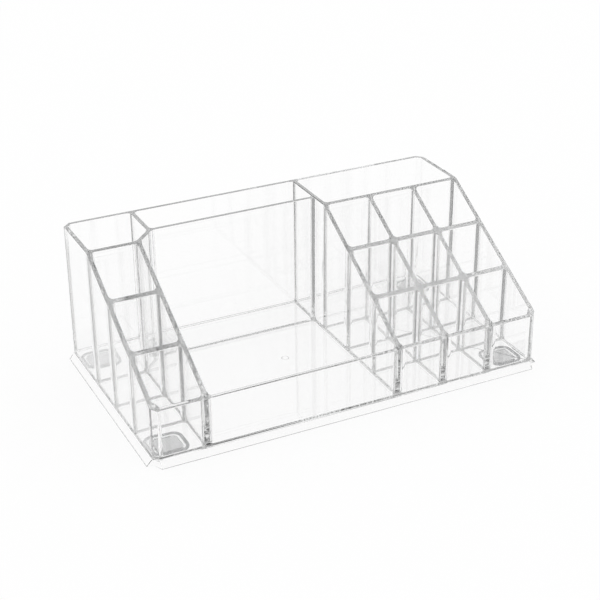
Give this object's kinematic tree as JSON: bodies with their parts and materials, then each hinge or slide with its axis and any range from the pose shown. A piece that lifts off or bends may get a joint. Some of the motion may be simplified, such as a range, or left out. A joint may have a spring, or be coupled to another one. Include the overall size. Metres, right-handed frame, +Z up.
{
  "type": "vanity organizer",
  "caption": "Clear plastic dressing-table organizer: stepped towers of upright cells beside an open tray with a low front, a palette slot behind it, and soft pads underneath.",
  "frame": {"origin": "on the table, under the middle of the floor", "axes": "+X to the right seen from the low front, +Y to the tall back, +Z up"},
  "size_m": [0.239, 0.1386, 0.0844],
  "materials": {
    "clear_plastic": "crystal-clear moulded plastic, polished",
    "pad": "translucent soft silicone, matt"
  },
  "bodies": {
    "root": {"floor_plate": "clear_plastic", "skirt_front": "clear_plastic", "skirt_back": "clear_plastic", "skirt_left": "clear_plastic", "skirt_right": "clear_plastic", "skirt_corners": "clear_plastic", "back_wall": "clear_plastic", "front_wall": "clear_plastic", "left_wall": "clear_plastic", "right_wall": "clear_plastic", "left_bay_wall": "clear_plastic", "left_slant_wall": "clear_plastic", "left_inner_wall": "clear_plastic", "left_cross_wall_back": "clear_plastic", "left_cross_wall_middle": "clear_plastic", "left_cross_wall_front": "clear_plastic", "palette_divider": "clear_plastic", "right_inner_wall": "clear_plastic", "right_divider_left": "clear_plastic", "right_divider_right": "clear_plastic", "right_cross_wall_back": "clear_plastic", "cell_wall_middle_left": "clear_plastic", "cell_wall_middle_centre": "clear_plastic", "cell_wall_middle_right": "clear_plastic", "cell_wall_front_left": "clear_plastic", "cell_wall_front_centre": "clear_plastic", "cell_wall_front_right": "clear_plastic", "pad_front_left": "pad", "pad_front_right": "pad", "pad_back_left": "pad", "pad_back_right": "pad"}
  },
  "joints": []
}
